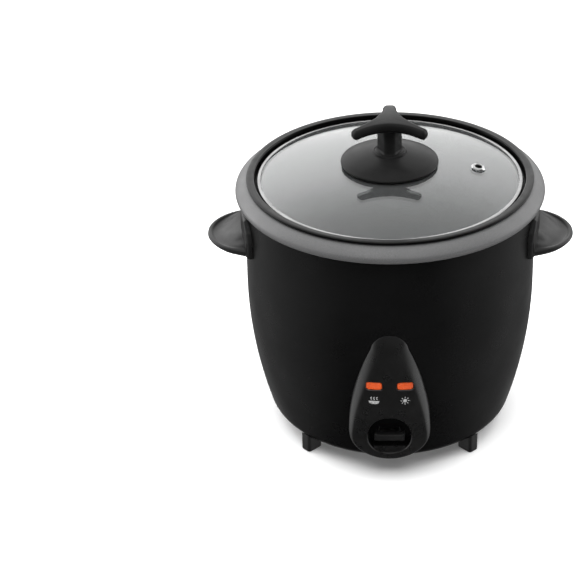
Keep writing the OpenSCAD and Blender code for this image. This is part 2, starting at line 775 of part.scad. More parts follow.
module knob_grip() {
    top = grip_z + 22.4;
    color("#18181a") difference() {
        union() {
            translate([0, 0, grip_z]) linear_extrude(17) stem_outline();
            intersection() {
                translate([0, 0, grip_z + 10]) linear_extrude(20) lobes();
                rotate_extrude($fn = fine)
                    polygon([[0, top - 6.8], [12, top - 6.8], [20, top - 7.6], [28, top - 8.8],
                        [28, top - 3], [24, top - 1.9], [16, top - 0.7], [8, top], [0, top]]);
            }
        }
        translate([0, 0, grip_z - 1]) cylinder(h = 12, r = 2.05, $fn = 48);
    }
}

outer_shell();
top_ring();
inner_liner();
base_plate();
feet();
base_brackets();
base_screws();
handle_left();
handle_right();
handle_screws();
front_panel();
panel_screws();
lens_cook();
lens_warm();
panel_marks();
lamp_carrier();
indicator_lamps();
lever_bracket();
bracket_screws();
lever_pin();
switch_lever();
lever_tab();
microswitch();
microswitch_button();
heating_plate();
heating_element();
plate_supports();
plate_screws();
thermostat_housing();
thermostat_screws();
thermostat_cap();
thermostat_ferrite();
thermostat_magnet();
magnet_rod();
cap_spring();
release_spring();
keep_warm_heater();
thermal_fuse();
fuse_clip();
terminal_block();
inlet_socket();
inlet_pins();
inlet_screws();
inner_pot();
lid_glass();
lid_rim();
steam_vent();
knob_gasket();
knob_screw();
knob_base();
knob_grip();
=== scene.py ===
"""Looks of the small one-switch rice cooker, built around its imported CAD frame."""

import json
import math

import bmesh
import bpy
from mathutils import Matrix, Vector


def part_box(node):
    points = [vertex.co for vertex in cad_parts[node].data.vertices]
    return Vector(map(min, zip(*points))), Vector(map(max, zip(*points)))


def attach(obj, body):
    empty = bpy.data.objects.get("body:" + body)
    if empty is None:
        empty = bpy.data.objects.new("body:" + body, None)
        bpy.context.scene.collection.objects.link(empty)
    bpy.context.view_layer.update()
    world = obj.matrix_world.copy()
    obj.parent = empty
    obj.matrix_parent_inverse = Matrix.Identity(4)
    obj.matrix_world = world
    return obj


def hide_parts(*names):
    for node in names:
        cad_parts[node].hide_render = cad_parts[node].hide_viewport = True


MM = 0.001
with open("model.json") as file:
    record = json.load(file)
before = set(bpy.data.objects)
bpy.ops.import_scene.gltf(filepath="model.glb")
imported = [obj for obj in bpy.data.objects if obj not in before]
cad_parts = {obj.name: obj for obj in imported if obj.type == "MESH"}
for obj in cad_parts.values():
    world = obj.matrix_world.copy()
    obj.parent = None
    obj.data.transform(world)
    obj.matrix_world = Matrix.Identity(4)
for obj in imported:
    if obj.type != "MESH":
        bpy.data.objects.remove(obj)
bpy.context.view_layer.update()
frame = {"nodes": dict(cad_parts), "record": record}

# ---- Driving sizes, in millimetres, read from the frame where a node gives them ----


def span(node):
    """Lowest and highest corners of a CAD node, in millimetres."""
    low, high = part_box(node)
    return [v / MM for v in low], [v / MM for v in high]


RING_R = span("top_ring")[1][0]
RING_TOP = span("top_ring")[1][2]
RING_Z = RING_TOP - 6.9
SHELL_R = span("outer_shell")[1][0]
SHELL_TOP = span("outer_shell")[1][2]
LIP_R = span("inner_pot")[1][0]
LIP_Z = span("inner_pot")[1][2]
POT_Z = span("inner_pot")[0][2]
LID_R = span("lid_rim")[1][0]
SEAT_Z = span("lid_rim")[0][2]
GLASS_TOP = span("lid_glass")[1][2]
DISC_R = span("knob_base")[1][0]
GRIP_Z = span("knob_grip")[0][2]
GRIP_TOP = span("knob_grip")[1][2]
PANEL_R = span("front_panel")[1][0]
PANEL_TOP = span("front_panel")[1][2]
HANDLE_TIP = span("handle_right")[1][0]
INLET_Z = (span("inlet_socket")[0][2] + span("inlet_socket")[1][2]) / 2
SHELF_Z = span("handle_right")[0][2]
HANDLE_TOP = SHELF_Z + 6

BULGE_Z = 105
LOWER_CURVE = 294
UPPER_CURVE = 1600
CORNER_R = 12
CORNER_TOP = 18
CORNER_TILT = math.radians(16.5)
POT_R = 82.5
POT_WALL = 1.5
POT_BEND = 14


def shell_radius(z):
    """Radius of the outside of the casing at height z."""
    curve = LOWER_CURVE if z < BULGE_Z else UPPER_CURVE
    return SHELL_R - (z - BULGE_Z) ** 2 / (2 * curve)


def arc(x, z, r, start, end, steps=10):
    """Points of an arc in a profile, angles in degrees."""
    angles = [math.radians(start + (end - start) * i / steps) for i in range(steps + 1)]
    return [(x + r * math.cos(a), z + r * math.sin(a)) for a in angles]


# ---- Mesh helpers ----


def new_object(name, verts, faces, smooth=True):
    mesh = bpy.data.meshes.new(name)
    mesh.from_pydata([[c * MM for c in v] for v in verts], [], faces)
    mesh.validate()
    piece = bpy.data.objects.new(name, mesh)
    bpy.context.scene.collection.objects.link(piece)
    build = bmesh.new()
    build.from_mesh(mesh)
    bmesh.ops.remove_doubles(build, verts=build.verts, dist=1e-7)
    bmesh.ops.recalc_face_normals(build, faces=build.faces)
    build.to_mesh(mesh)
    build.free()
    for face in mesh.polygons:
        face.use_smooth = smooth
    return piece


def loft(name, rings, closed_ends=True):
    """Skin through rings of equally many points. An end ring is closed by a fan to its middle."""
    count = len(rings[0])
    verts = [p for ring in rings for p in ring]
    faces = []
    for i in range(len(rings) - 1):
        for k in range(count):
            n = (k + 1) % count
            faces.append([i * count + k, i * count + n, (i + 1) * count + n, (i + 1) * count + k])
    if closed_ends:
        for start in (0, (len(rings) - 1) * count):
            ring = verts[start:start + count]
            verts.append([sum(p[j] for p in ring) / count for j in range(3)])
            middle = len(verts) - 1
            faces += [[start + k, start + (k + 1) % count, middle] for k in range(count)]
    return new_object(name, verts, faces)


def lathe(name, profile, segments=240, closed=True):
    """Solid turned about Z. The profile is a loop of (radius, height) points."""
    rings = []
    for i in range(segments):
        a = 2 * math.pi * i / segments
        rings.append([(r * math.cos(a), r * math.sin(a), z) for r, z in profile])
    count = len(profile)
    verts = [p for ring in rings for p in ring]
    faces = []
    for i in range(segments):
        j = (i + 1) % segments
        for k in range(count if closed else count - 1):
            n = (k + 1) % count
            if profile[k][0] < 1e-6 and profile[n][0] < 1e-6:
                continue
            faces.append([i * count + k, i * count + n, j * count + n, j * count + k])
    return new_object(name, verts, faces)


def smooth_by_angle(piece, degrees=35):
    """Marks edges sharper than the angle, so that flat faces stay flat."""
    mesh = piece.data
    build = bmesh.new()
    build.from_mesh(mesh)
    for edge in build.edges:
        if len(edge.link_faces) == 2 and edge.calc_face_angle(0) > math.radians(degrees):
            edge.smooth = False
    build.to_mesh(mesh)
    build.free()


def apply_modifiers(piece):
    """Replaces the mesh of a piece with what its modifiers make of it."""
    graph = bpy.context.evaluated_depsgraph_get()
    made = bpy.data.meshes.new_from_object(piece.evaluated_get(graph))
    piece.modifiers.clear()
    piece.data = made


def cut(piece, *cutters):
    """Takes closed cutters out of a piece and deletes them."""
    for cutter in cutters:
        step = piece.modifiers.new("cut", "BOOLEAN")
        step.operation = "DIFFERENCE"
        step.solver = "EXACT"
        step.object = cutter
        apply_modifiers(piece)
        bpy.data.objects.remove(cutter)


def bevel(piece, width, segments=3, angle=30):
    step = piece.modifiers.new("bevel", "BEVEL")
    step.width = width * MM
    step.segments = segments
    step.limit_method = "ANGLE"
    step.angle_limit = math.radians(angle)
    step.harden_normals = False
    apply_modifiers(piece)


def block(name, low, high):
    """Box between two corners, for cutting and bevelling."""
    (x1, y1, z1), (x2, y2, z2) = low, high
    ring = lambda z: [(x1, y1, z), (x2, y1, z), (x2, y2, z), (x1, y2, z)]
    verts = ring(z1) + ring(z2)
    faces = [[3, 2, 1, 0], [4, 5, 6, 7]] + [[k, (k + 1) % 4, (k + 1) % 4 + 4, k + 4] for k in range(4)]
    return new_object(name, verts, faces, smooth=False)


def bar(name, start, end, radius, sides=48):
    """Round bar between two points."""
    a, b = Vector(start), Vector(end)
    turn = (b - a).to_track_quat("Z", "Y")
    rings = []
    for origin in (a, b):
        ring = []
        for k in range(sides):
            t = 2 * math.pi * k / sides
            ring.append(tuple(origin + turn @ Vector((radius * math.cos(t), radius * math.sin(t), 0))))
        rings.append(ring)
    return loft(name, rings)


def join(name, pieces):
    """Joins meshes into one piece."""
    build = bmesh.new()
    for piece in pieces:
        build.from_mesh(piece.data)
        bpy.data.objects.remove(piece)
    mesh = bpy.data.meshes.new(name)
    build.to_mesh(mesh)
    build.free()
    made = bpy.data.objects.new(name, mesh)
    bpy.context.scene.collection.objects.link(made)
    return made


def fit(piece, material, body, slot, *nodes):
    """Gives a piece its material and body, and hides the CAD nodes that it stands for. The slot argument is
    not used.
    """
    piece.data.materials.clear()
    piece.data.materials.append(material)
    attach(piece, body)
    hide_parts(*nodes)


# ---- Materials ----


class Nodes:
    """A material under construction: its shader and short ways to add nodes."""

    def __init__(self, name):
        self.material = bpy.data.materials.new(name)
        self.material.use_nodes = True
        self.tree = self.material.node_tree
        self.shader = self.tree.nodes["Principled BSDF"]
        self.place = self.tree.nodes.new("ShaderNodeTexCoord").outputs["Object"]

    def set(self, **values):
        for key, value in values.items():
            self.shader.inputs[key.replace("_", " ")].default_value = value
        return self

    def noise(self, scale, detail=4.0, rough=0.55, stretch=(1, 1, 1)):
        mapping = self.tree.nodes.new("ShaderNodeMapping")
        mapping.inputs["Scale"].default_value = stretch
        self.tree.links.new(self.place, mapping.inputs["Vector"])
        texture = self.tree.nodes.new("ShaderNodeTexNoise")
        texture.inputs["Scale"].default_value = scale
        texture.inputs["Detail"].default_value = detail
        texture.inputs["Roughness"].default_value = rough
        self.tree.links.new(mapping.outputs["Vector"], texture.inputs["Vector"])
        return texture.outputs["Fac"]

    def between(self, factor, low, high, start=0.35, end=0.65):
        """A value from low to high as the factor goes from start to end."""
        node = self.tree.nodes.new("ShaderNodeMapRange")
        node.inputs["From Min"].default_value = start
        node.inputs["From Max"].default_value = end
        node.inputs["To Min"].default_value = low
        node.inputs["To Max"].default_value = high
        self.tree.links.new(factor, node.inputs["Value"])
        return node.outputs["Result"]

    def colours(self, factor, dark, light, start=0.35, end=0.65):
        ramp = self.tree.nodes.new("ShaderNodeValToRGB")
        ramp.color_ramp.elements[0].position = start
        ramp.color_ramp.elements[0].color = (*dark, 1)
        ramp.color_ramp.elements[1].position = end
        ramp.color_ramp.elements[1].color = (*light, 1)
        self.tree.links.new(factor, ramp.inputs["Fac"])
        self.tree.links.new(ramp.outputs["Color"], self.shader.inputs["Base Color"])
        return self

    def roughness(self, factor, low, high):
        self.tree.links.new(self.between(factor, low, high), self.shader.inputs["Roughness"])
        return self

    def bump(self, factor, distance, strength=1.0):
        node = self.tree.nodes.new("ShaderNodeBump")
        node.inputs["Distance"].default_value = distance
        node.inputs["Strength"].default_value = strength
        self.tree.links.new(factor, node.inputs["Height"])
        self.tree.links.new(node.outputs["Normal"], self.shader.inputs["Normal"])
        return self


def grey(value, tint=0.0):
    return (value, value, value * (1 + tint))


def plastic(name, dark, light, rough, grain, depth, specular=0.4):
    """Moulded plastic with a fine spark-eroded grain and slight gloss changes."""
    made = Nodes(name).set(Specular_IOR_Level=specular)
    made.colours(made.noise(30), grey(dark), grey(light))
    made.roughness(made.noise(90), rough - 0.05, rough + 0.05)
    return made.bump(made.noise(grain, 2.0), depth).material


def metal(name, dark, light, rough, scale=60.0, stretch=(1, 1, 1), depth=0.00002):
    made = Nodes(name).set(Metallic=1.0)
    made.colours(made.noise(scale, stretch=stretch), dark, light)
    made.roughness(made.noise(scale * 3, stretch=stretch), rough - 0.06, rough + 0.06)
    return made.bump(made.noise(scale * 12, 2.0, stretch=stretch), depth).material


def shell_paint():
    """Baked black enamel with fine orange-peel waves."""
    made = Nodes("shell_paint").set(Specular_IOR_Level=0.09)
    made.colours(made.noise(14), grey(0.0026, 0.02), grey(0.0040, 0.02))
    made.roughness(made.noise(40), 0.26, 0.36)
    return made.bump(made.noise(700, 2.0), 0.000012).material


def ring_paint():
    """Satin grey metallic lacquer with fine flakes."""
    made = Nodes("ring_paint").set(Metallic=0.3, Specular_IOR_Level=0.4)
    made.colours(made.noise(2600, 1.0), grey(0.075, 0.01), grey(0.118, 0.01), 0.3, 0.7)
    made.roughness(made.noise(80), 0.44, 0.52)
    return made.bump(made.noise(3000, 1.0), 0.00001).material


def clear_glass():
    made = Nodes("lid_glass").set(Transmission_Weight=0.965, IOR=1.5, Base_Color=(0.70, 0.72, 0.72, 1))
    made.roughness(made.noise(25), 0.0, 0.025)
    return made.material


def amber_lens():
    """Tinted lens with fine moulded ribs behind a glossy face."""
    made = Nodes("lens_amber").set(Coat_Weight=0.5, Coat_Roughness=0.08, Emission_Strength=0.10)
    made.shader.inputs["Emission Color"].default_value = (0.9, 0.13, 0.02, 1)
    made.colours(made.noise(260, stretch=(1, 1, 0.1)), (0.42, 0.048, 0.006), (0.52, 0.066, 0.009))
    made.roughness(made.noise(150), 0.2, 0.32)
    return made.bump(made.noise(500, 1.0, stretch=(1, 1, 0.05)), 0.00003).material


def print_ink():
    made = Nodes("print_white")
    made.colours(made.noise(900, 2.0), grey(0.26), grey(0.36))
    made.roughness(made.noise(400), 0.5, 0.65)
    return made.bump(made.noise(1500, 1.0), 0.00001).material


def ceramic(name, colour):
    made = Nodes(name)
    made.colours(made.noise(50), tuple(0.82 * c for c in colour), colour)
    made.roughness(made.noise(120), 0.5, 0.75)
    return made.bump(made.noise(600, 3.0), 0.00004).material


BLACK = plastic("black_plastic", 0.006, 0.011, 0.38, 1400, 0.000012, 0.22)
KNOB = plastic("knob_plastic", 0.005, 0.009, 0.34, 1400, 0.000012, 0.07)
PANEL = plastic("panel_plastic", 0.004, 0.007, 0.30, 1600, 0.000004, 0.9)
RUBBER = plastic("rubber_black", 0.008, 0.014, 0.52, 900, 0.00002, 0.3)
SHELL = shell_paint()
RING = ring_paint()
GLASS = clear_glass()
AMBER = amber_lens()
INK = print_ink()
POT = metal("pot_metal", grey(0.06), grey(0.08), 0.62, 30, (1, 1, 8), 0.00001)
LIP = metal("pot_lip", grey(0.010), grey(0.016), 0.34, 60, (1, 1, 6), 0.000008)
STEEL = metal("lid_steel", grey(0.20), grey(0.27), 0.22, 60, (1, 1, 20), 0.000004)
BRIGHT = metal("vent_steel", grey(0.30), grey(0.40), 0.14, 120, depth=0.000004)
ZINC = metal("zinc_steel", (0.42, 0.43, 0.44), (0.60, 0.60, 0.58), 0.36, 90)
SPRING = metal("spring_steel", grey(0.50), grey(0.62), 0.25, 200)
LINER = metal("liner_metal", grey(0.50), grey(0.62), 0.38, 25, (1, 1, 14))
CAST = metal("cast_aluminium", grey(0.42), grey(0.56), 0.5, 40, depth=0.0001)
SHEATH = metal("element_sheath", (0.20, 0.19, 0.18), (0.33, 0.31, 0.30), 0.45, 120)
BRASS = metal("brass_pins", (0.62, 0.46, 0.20), (0.78, 0.62, 0.34), 0.25, 120)
FERRITE = ceramic("ferrite_grey", grey(0.05))
MICA = ceramic("mica_band", (0.62, 0.56, 0.43))
STEATITE = ceramic("ceramic_white", (0.80, 0.78, 0.72))
CARRIER = plastic("carrier_plastic", 0.62, 0.74, 0.5, 900, 0.00001)
RED = plastic("button_red", 0.02, 0.03, 0.35, 900, 0.00001)

CAD_MATERIALS = {
    "shell_paint": SHELL, "ring_metal": RING, "liner_metal": LINER, "zinc_steel": ZINC,
    "black_plastic": BLACK, "panel_plastic": PANEL, "rubber_black": RUBBER, "lens_amber": AMBER,
    "print_white": INK, "carrier_plastic": CARRIER, "lamp_glass": GLASS, "cast_aluminium": CAST,
    "element_sheath": SHEATH, "ferrite_grey": FERRITE, "spring_steel": SPRING, "mica_band": MICA,
    "ceramic_white": STEATITE, "brass_pins": BRASS, "pot_metal": POT, "lid_glass": GLASS,
    "lid_steel": STEEL, "button_red": RED,
}


def dress_cad_nodes():
    """Gives every carried-over CAD node the procedural material of its slot."""
    for row in frame["record"]["subparts"]:
        mesh = frame["nodes"][row["node"]].data
        for index in range(len(mesh.materials)):
            mesh.materials[index] = CAD_MATERIALS[row["material_slot"]]


# ---- Casing, ring and pot ----


def shell_line(out):
    """Outline of the casing moved out by a distance, from its foot up."""
    corner_x = shell_radius(CORNER_TOP) - CORNER_R * math.cos(CORNER_TILT)
    corner_z = CORNER_TOP + CORNER_R * math.sin(CORNER_TILT)
    foot = arc(corner_x, corner_z, CORNER_R + out, -78, -math.degrees(CORNER_TILT), 16)
    side = [(shell_radius(z) + out, z) for z in range(20, int(SHELL_TOP), 3)]
    return foot + side + [(shell_radius(SHELL_TOP) + out, SHELL_TOP)]


def make_shell():
    outer, inner = shell_line(0), shell_line(-1)
    bead = arc(outer[0][0] - 0.4, outer[0][1] + 0.2, 0.8, -10, -200, 10)
    shell = lathe("outer_shell_skin", outer + inner[::-1] + bead[::-1], 288)
    slot_half, slot_low, slot_high = 7, 29, 41
    window_half, window_low, window_high = 15.4, 75.7, 82.3
    inlet_half_w, inlet_half_h = 14.2, 10.7
    cut(shell, block("arm_slot", (-slot_half, -110, slot_low), (slot_half, -50, slot_high)),
        block("lamp_window", (-window_half, -110, window_low), (window_half, -50, window_high)),
        block("inlet_hole", (-inlet_half_w, 60, INLET_Z - inlet_half_h),
              (inlet_half_w, 110, INLET_Z + inlet_half_h)))
    smooth_by_angle(shell, 40)
    fit(shell, SHELL, "root", "shell_paint", "outer_shell")


def make_ring():
    nose = arc(RING_R - 3, RING_Z, 3, -80, 40, 12)
    slope = [(97.7, 173.35), (96.2, 174.55), (94.4, 175.6), (92.6, 176.4), (91.2, 176.8), (90.3, 176.9)]
    lip = arc(90.1, 176.6, 0.3, 90, 180, 3) + [(89.8, 175.9), (90.1, 175.6), (91.3, 175.6)]
    under = [(93.5, 174.7), (96.2, 172.9), (98, 170.9), (98, 169.3), (95.6, 168.6), (95, 169.4),
             (89.5, 170.6), (89.5, 169.6), (93.6, 169.2), (93.6, 168.2), (94.2, 167.4), (95, 167.05)]
    ring = lathe("top_ring_skin", nose + slope + lip + under, 288)
    smooth_by_angle(ring, 50)
    fit(ring, RING, "root", "ring_metal", "top_ring")


def make_pot():
    """Pot with its turned-out lip. The lip has its own material, because its finish is darker."""
    centre = POT_R - POT_BEND
    outside = [(0, POT_Z)] + arc(centre, POT_Z + POT_BEND, POT_BEND, -90, 0, 16)
    outside += [(POT_R, z) for z in range(90, 168, 6)]
    outside += [(POT_R, 168), (82.9, 169.8), (83.6, 170.7), (84.9, 171.1), (87.8, 171.1),
                (88.6, 171.4), (88.9, 172.1), (88.9, 176.6), (89.4, 177.3)]
    edge = [(92.2, 177.3)] + arc(LIP_R - 0.6, LIP_Z - 0.75, 0.6, -60, 60, 6)
    crown = [(91.6, LIP_Z - 0.03), (90.2, LIP_Z), (89.0, LIP_Z - 0.12)]
    crown += arc(88.4, LIP_Z - 1.0, 0.9, 75, 175, 6)
    seat = [(87.3, 174), (87.2, SEAT_Z + 0.3), (86.9, SEAT_Z), (83.1, SEAT_Z), (82.3, SEAT_Z - 0.3),
            (81.5, 171.4), (81.05, 169.8), (81, 168.6)]
    inside = [(POT_R - POT_WALL, z) for z in range(162, 85, -6)]
    inside += arc(centre, POT_Z + POT_BEND, POT_BEND - POT_WALL, 0, -90, 16)
    inside += [(0, POT_Z + POT_WALL)]
    pot = lathe("inner_pot_skin", outside + edge + crown + seat + inside, 240)
    smooth_by_angle(pot, 50)
    pot.data.materials.append(POT)
    pot.data.materials.append(LIP)
    lip_from_z, lip_from_r = 174.5 * MM, 87.1 * MM
    for face in pot.data.polygons:
        middle = face.center
        if middle.z > lip_from_z and math.hypot(middle.x, middle.y) > lip_from_r:
            face.material_index = 1
    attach(pot, "pot")
    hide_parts("inner_pot")


# ---- Lid ----

GLASS_R = LID_R - 0.9
GLASS_T = 2.7
GLASS_FALL = (GLASS_TOP - 175.8) / GLASS_R ** 2
VENT_X = (span("steam_vent")[0][0] + span("steam_vent")[1][0]) / 2


def glass_z(r):
    return GLASS_TOP - GLASS_FALL * r * r


def make_lid():
    radii = [4.2 + (GLASS_R - 4.2) * i / 40 for i in range(41)]
    top = [(r, glass_z(r)) for r in radii]
    low = [(r, glass_z(r) - GLASS_T) for r in radii]
    edge = [(GLASS_R + 0.15, glass_z(GLASS_R) - GLASS_T / 2)]
    glass = lathe("lid_glass_dome", top + edge + low[::-1], 240)
    cut(glass, bar("vent_bore", (VENT_X, 0, 170), (VENT_X, 0, 190), 3.8))
    smooth_by_angle(glass, 50)
    fit(glass, GLASS, "lid", "lid_glass", "lid_glass")

    hoop = arc(LID_R - 0.5, SEAT_Z + 0.5, 0.5, -90, 0, 4) + arc(LID_R - 0.6, 176.0, 0.6, 0, 90, 6)
    hoop += [(84, 176.6)] + arc(83.5, 176.4, 0.2, 90, 270, 6) + [(GLASS_R + 0.2, 175.87)]
    hoop += [(GLASS_R + 0.2, SEAT_Z + 0.4), (82.4, SEAT_Z + 0.4), (82.4, SEAT_Z)]
    rim = lathe("lid_rim_hoop", hoop, 240)
    smooth_by_angle(rim, 50)
    fit(rim, STEEL, "lid", "lid_steel", "lid_rim")

    profile = [(2.4, -3.8), (4.6, -3.8), (4.6, -3.0), (3.2, -2.8), (3.2, 0.1)]
    profile += arc(4.35, 0.6, 0.5, -90, 30, 5) + arc(3.6, 0.75, 0.85, 60, 120, 4)
    profile += arc(2.9, 1.0, 0.5, 120, 180, 4)
    vent = lathe("steam_vent_grommet", profile, 64)
    tilt = math.atan(2 * GLASS_FALL * VENT_X)
    place = Matrix.Translation((VENT_X * MM, 0, glass_z(VENT_X) * MM)) @ Matrix.Rotation(tilt, 4, "Y")
    vent.data.transform(place)
    smooth_by_angle(vent, 50)
    fit(vent, BRIGHT, "lid", "lid_steel", "steam_vent")


def make_knob_base():
    edge = GLASS_TOP + 0.5
    boss = GLASS_TOP + 0.8
    profile = [(2.2, boss), (9, boss), (9, boss + 2.4), (12, boss + 2.6), (22, boss + 1.2)]
    profile += [(DISC_R - 2, edge - 0.3)]
    profile += [(DISC_R - 1.5, edge - 1.0)] + arc(DISC_R - 1, edge - 0.1, 1.0, -75, 60, 8)
    profile += [(DISC_R - 1.3, edge + 1.15), (28.5, edge + 2.25), (26, edge + 3.2), (23, edge + 4.15),
                (20, edge + 4.9), (17, edge + 5.55), (14, edge + 6.1), (12, edge + 6.35),
                (11.2, edge + 6.5)]
    profile += arc(10.1, edge + 6.6, 0.9, 30, 130, 6) + [(9.2, GRIP_Z - 0.2), (8.8, GRIP_Z), (2.2, GRIP_Z)]
    base = lathe("knob_base_disc", profile, 160)
    smooth_by_angle(base, 40)
    fit(base, KNOB, "lid", "black_plastic", "knob_base")


# ---- Knob grip ----


def offset_outline(points, inset):
    """Moves a closed outline, run anticlockwise, inwards along its own normals."""
    count = len(points)
    moved = []
    for i, (x, y) in enumerate(points):
        (ax, ay), (bx, by) = points[i - 1], points[(i + 1) % count]
        tx, ty = bx - ax, by - ay
        size = math.hypot(tx, ty) or 1
        moved.append((x - inset * ty / size, y + inset * tx / size))
    return moved


def resample(points, count):
    """Spaces a closed outline evenly."""
    loop = points + [points[0]]
    steps = [math.dist(a, b) for a, b in zip(loop, loop[1:])]
    total, made, i, run = sum(steps), [], 0, 0.0
    for k in range(count):
        want = total * k / count
        while i < len(steps) - 1 and run + steps[i] < want:
            run += steps[i]
            i += 1
        f = (want - run) / steps[i] if steps[i] else 0
        a, b = loop[i], loop[i + 1]
        made.append((a[0] + (b[0] - a[0]) * f, a[1] + (b[1] - a[1]) * f))
    return made


def lobed_outline():
    """Three lobes with squarish tips, one at the back and one at each front corner, with hollow sides."""
    root, waist, square = 7.3, 4.75, 3.0
    points = []
    for degrees, reach, tip_r in ((90, 26, 4.5), (210, 27, 3.6), (330, 27, 3.6)):
        tip = reach - tip_r
        flank = []
        for i in range(25):
            x = waist + (tip - waist) * i / 24
            flank.append((x, tip_r + root * (1 - x / tip) ** 2))
        end = []
        for k in range(-8, 9):
            c, v = math.cos(math.radians(10 * k)), math.sin(math.radians(10 * k))
            end.append((tip + tip_r * c ** (2 / square), tip_r * math.copysign(abs(v) ** (2 / square), v)))
        a = math.radians(degrees)
        for x, y in [(x, -y) for x, y in flank[1:]] + end + flank[::-1]:
            points.append((x * math.cos(a) - y * math.sin(a), x * math.sin(a) + y * math.cos(a)))
    return resample(points, 240)


def stem_ring(reach, edge_r, z, count=96):
    """Rounded three-sided ring with an edge to the front."""
    points = []
    for a in (30, 150, 270):
        for s in range(-60, 61, 6):
            t = math.radians(a + s)
            points.append((reach * math.cos(math.radians(a)) + edge_r * math.cos(t),
                           reach * math.sin(math.radians(a)) + edge_r * math.sin(t)))
    return [(x, y, z) for x, y in resample(points, count)]


def make_knob_grip():
    outline = lobed_outline()
    crown = GRIP_TOP
    droop = lambda x, y: 2.7 * (math.hypot(x, y) / 27) ** 2
    thick = lambda x, y: 6.2 + 0.4 * math.hypot(x, y) / 27
    rings = []
    middle_parts = (0.05, 0.2, 0.4, 0.6, 0.8)
    edge = 2.4
    inner = offset_outline(outline, edge)
    for part in middle_parts:
        rings.append([(x * part, y * part, crown - droop(x * part, y * part) - thick(x, y))
                      for x, y in inner])
    for step in range(0, 19):
        t = math.radians(10 * step)
        ring = []
        for x, y in offset_outline(outline, edge * (1 - math.sin(t))):
            height = thick(x, y) * (0.5 - 0.5 * math.cos(t))
            ring.append((x, y, crown - droop(x, y) - thick(x, y) + height))
        rings.append(ring)
    for part in middle_parts[::-1]:
        rings.append([(x * part, y * part, crown - droop(x * part, y * part)) for x, y in inner])
    wing = loft("knob_wing", rings)
    sizes = ((4.4, 4.9, 0), (4.2, 4.6, 0.5), (4.0, 4.4, 1.2),
             (4.0, 4.4, 12), (4.3, 4.7, 15), (4.8, 5.4, 17))
    stem = loft("knob_stem", [stem_ring(reach, edge_r, GRIP_Z + up) for reach, edge_r, up in sizes])
    grip = join("knob_grip_wing", [wing, stem])
    smooth_by_angle(grip, 60)
    fit(grip, KNOB, "lid", "black_plastic", "knob_grip")


# ---- Handles ----


def handle_outline():
    """Half-round plate of the right handle, its straight end inside the casing."""
    tip = HANDLE_TIP - 30
    round_end = arc(tip, 0, 30, -64, 64, 48)
    return resample([(80, -36)] + [(x, y) for x, y in round_end] + [(80, 36)], 260)


def make_handle(side, name, node):
    outline = handle_outline()
    floor_z = SHELF_Z + 3.9
    top_z = HANDLE_TOP
    middle = (92, 0)
    steps = [(7.0, SHELF_Z), (5.4, SHELF_Z), (4.4, SHELF_Z + 0.3), (3.2, SHELF_Z + 1.1),
             (1.8, SHELF_Z + 2.3), (0.6, SHELF_Z + 3.6), (0, top_z - 1.5), (0.2, top_z - 0.6),
             (0.8, top_z - 0.12), (1.5, top_z), (2.2, top_z - 0.12), (2.8, top_z - 0.5),
             (3.2, top_z - 1.0), (3.7, floor_z + 0.7), (4.4, floor_z + 0.4), (5.4, floor_z + 0.15),
             (7.0, floor_z)]
    rings = []
    first = offset_outline(outline, 7.0)
    for part in (0.05, 0.5):
        rings.append([(middle[0] + (x - middle[0]) * part, y * part, SHELF_Z) for x, y in first])
    for inset, z in steps:
        rings.append([(x, y, z) for x, y in offset_outline(outline, inset)])
    last = offset_outline(outline, 7.0)
    for k in range(1, 25):
        part = 1 - k / 25
        rings.append([(middle[0] + (x - middle[0]) * part, y * part, floor_z - 0.5 * (1 - part ** 2))
                      for x, y in last])
    sweep, rise = 24, 15
    first_lifted, blend_rings = 9, 16
    for index, ring in enumerate(rings):
        if index < first_lifted:
            continue
        inward = min(max((index - first_lifted) / blend_rings, 0), 1)
        blend = inward * inward * (3 - 2 * inward)
        for k, (x, y, z) in enumerate(ring):
            away = math.hypot(x, y) - shell_radius(z)
            lift = rise * max(0.0, 1 - max(away, 0) / sweep) ** 2
            ring[k] = (x, y, z + lift * blend)
    plate = loft("handle_plate", rings)

    pad_rings = []
    low, high, half = SHELF_Z + 2.4, SHELF_Z + 26, 33.5
    pad = [(-half, low), (half, low), (half, low + 12), (half - 2, low + 17), (half - 9, high),
           (9 - half, high), (2 - half, low + 17), (-half, low + 12)]
    pad = resample(pad, 220)
    for inset, out in ((6, -2), (0, -2), (0, 1.8), (0.3, 2.7), (0.9, 3.3), (1.8, 3.5), (6, 3.5), (11, 3.5)):
        pad_rings.append([(math.sqrt((shell_radius(z) + out) ** 2 - y * y), y, z)
                          for y, z in offset_outline(pad, inset)])
    flange = loft("handle_pad", pad_rings)
    casing = [(0, 100)] + [(shell_radius(z) + 0.1, z) for z in range(100, 168, 2)] + [(0, 167)]
    for part in (plate, flange):
        cut(part, lathe("casing_space", casing, 240))
    handle = join(name, [plate, flange])
    if side < 0:
        handle.data.transform(Matrix.Scale(-1, 4, (1, 0, 0)))
        handle.data.flip_normals()
    smooth_by_angle(handle, 50)
    fit(handle, BLACK, "root", "black_plastic", node)


# ---- Control panel ----

TIP_R = 12
FOOT_Z = span("front_panel")[0][2] + PANEL_R
LENS_X = (span("lens_warm")[0][0] + span("lens_warm")[1][0]) / 2
LENS_Z = (span("lens_warm")[0][2] + span("lens_warm")[1][2]) / 2 - 0.4
LENS_W = 5
LENS_H = 2.7
RECESS_W = 13.7
RECESS_H = 15.6
RECESS_Z = 38.6
RECESS_SQUARENESS = 2.15
FACE_LINE = [(10, 84.9), (17, 88.3), (26, 92.5), (37, 95.9), (52, 97.9),
             (68, 98.3), (88, 97.9), (102, 96.7), (114.5, 94.9)]


